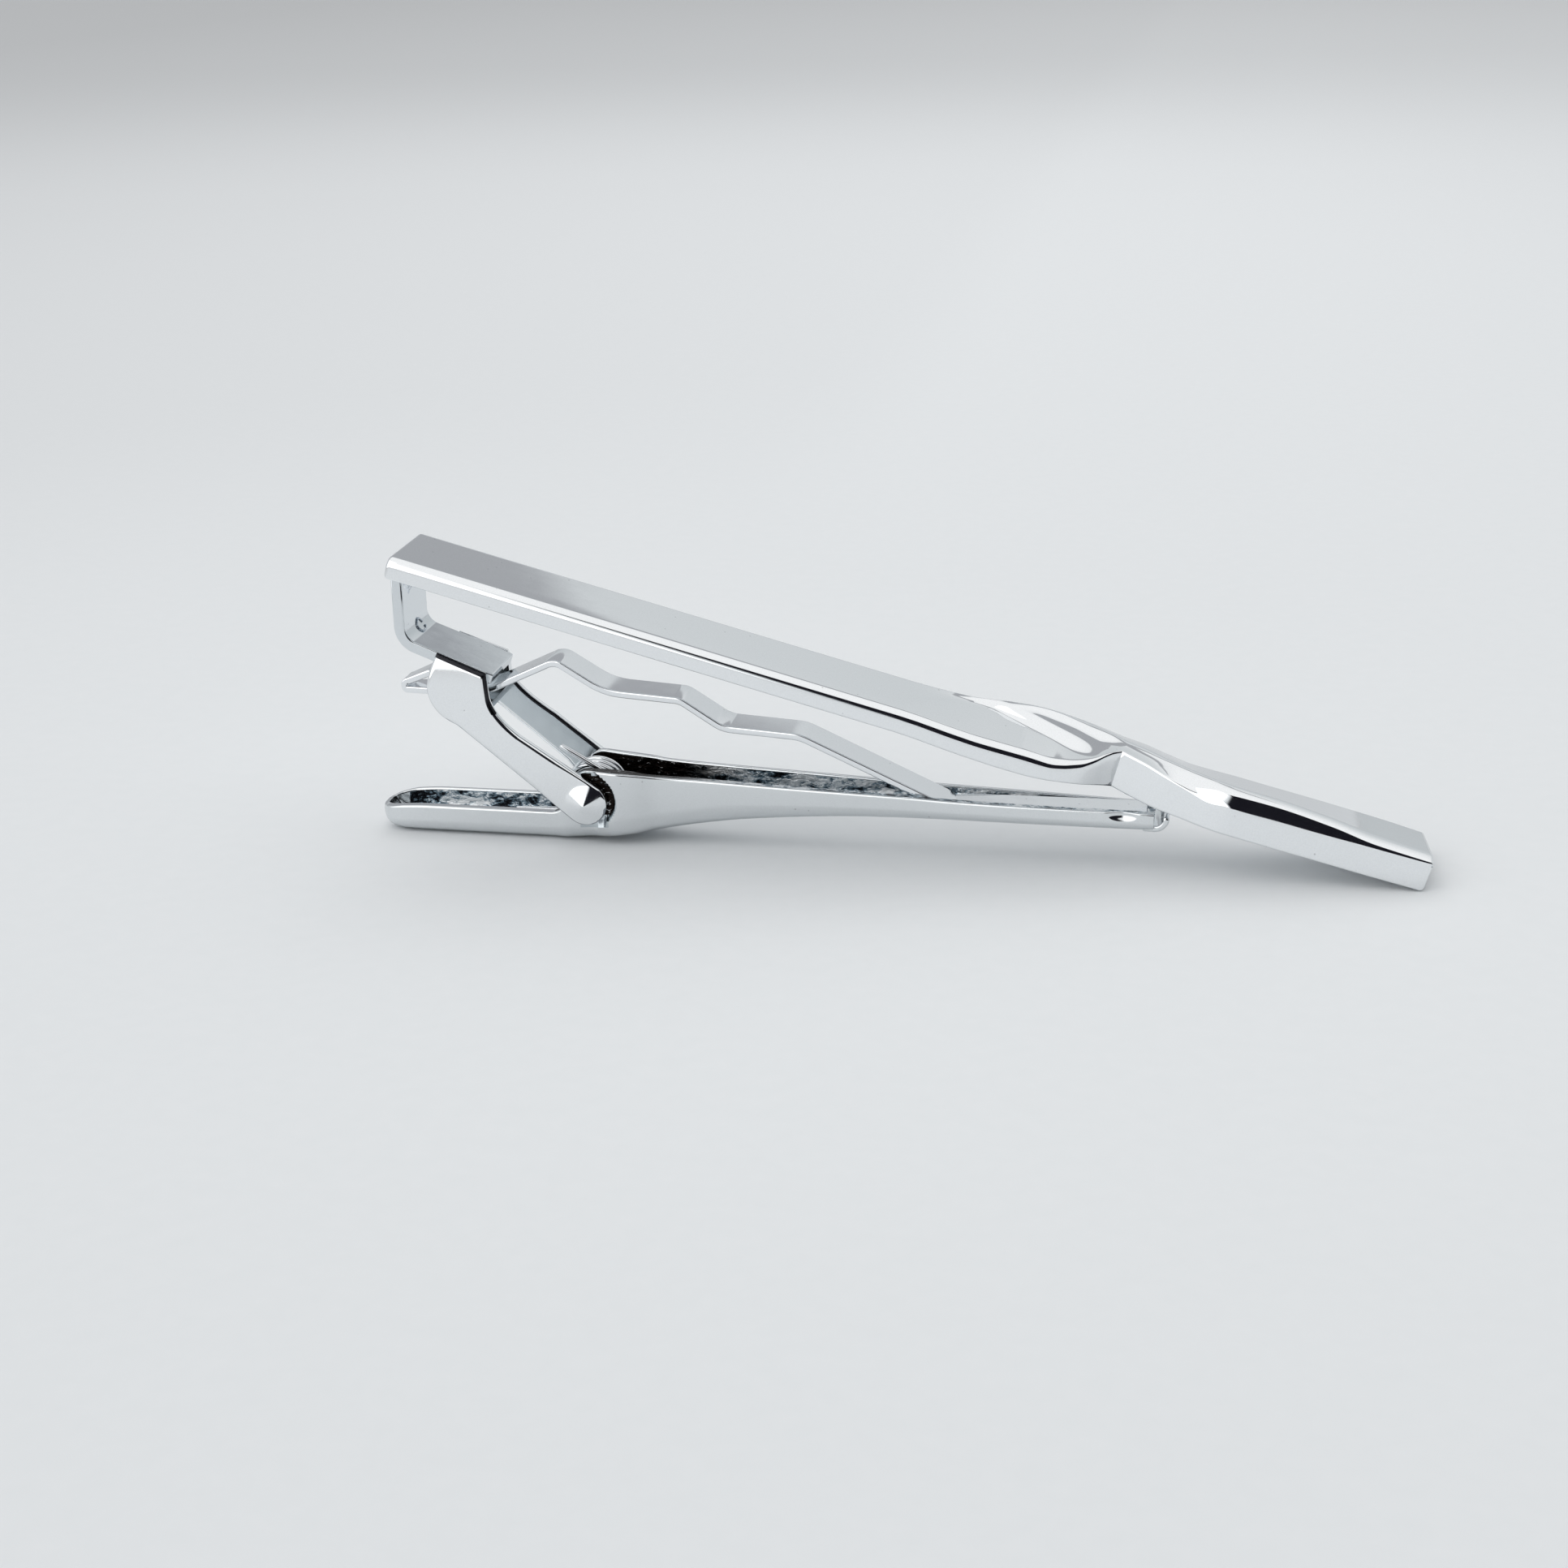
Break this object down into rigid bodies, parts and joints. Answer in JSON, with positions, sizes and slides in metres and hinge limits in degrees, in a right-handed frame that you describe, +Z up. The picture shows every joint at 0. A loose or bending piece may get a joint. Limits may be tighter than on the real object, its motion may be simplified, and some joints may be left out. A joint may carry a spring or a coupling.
{
  "type": "tie clip",
  "caption": "Spring tie clip: a slim twisted front bar over a bracket and cradle, with a sprung pinch lever and a wavy gripper leaf.",
  "frame": {"origin": "under the middle of the clip's box, on the surface that it lies on", "axes": "+X along the clip from the bracket end to the bar's free end, +Z up, -Y towards the side that the notch opens to"},
  "size_m": [0.058, 0.006, 0.0163],
  "materials": {
    "bar_chrome": "mirror-polished rhodium-bright plating",
    "cradle_chrome": "polished plating over a stamped sheet, with small pits",
    "lever_chrome": "polished outside, uneven plating inside the channel",
    "leaf_chrome": "bright plated spring steel with sheared edges",
    "spring_steel": "drawn wire",
    "solder": "plated solder, slightly lumpy"
  },
  "bodies": {
    "clip_frame": {"front_bar": "bar_chrome", "bracket": "bar_chrome", "solder_fillet": "solder", "cradle": "cradle_chrome", "pivot_pin": "spring_steel"},
    "lever_arm": {"lever": "lever_chrome", "torsion_spring": "spring_steel", "gripper_foot": "leaf_chrome"},
    "leaf": {"gripper_wave": "leaf_chrome"}
  },
  "joints": [
    {"name": "lever_hinge", "type": "hinge", "parent": "clip_frame", "child": "lever_arm", "pos_m": [-0.01668, 0, 0.00254], "axis": [0, 1, 0], "range_deg": [0, 20], "stiffness_Nm_per_rad": 0.02, "springref_deg": -34.38},
    {"name": "leaf_flex", "type": "hinge", "parent": "lever_arm", "child": "leaf", "pos_m": [0.00337, 0, 0.0027], "axis": [0, 1, 0], "range_deg": [-5.6, 0]}
  ],
  "couplings": [
    {"joint": "leaf_flex", "follows": "lever_hinge", "ratio": -0.2765}
  ]
}
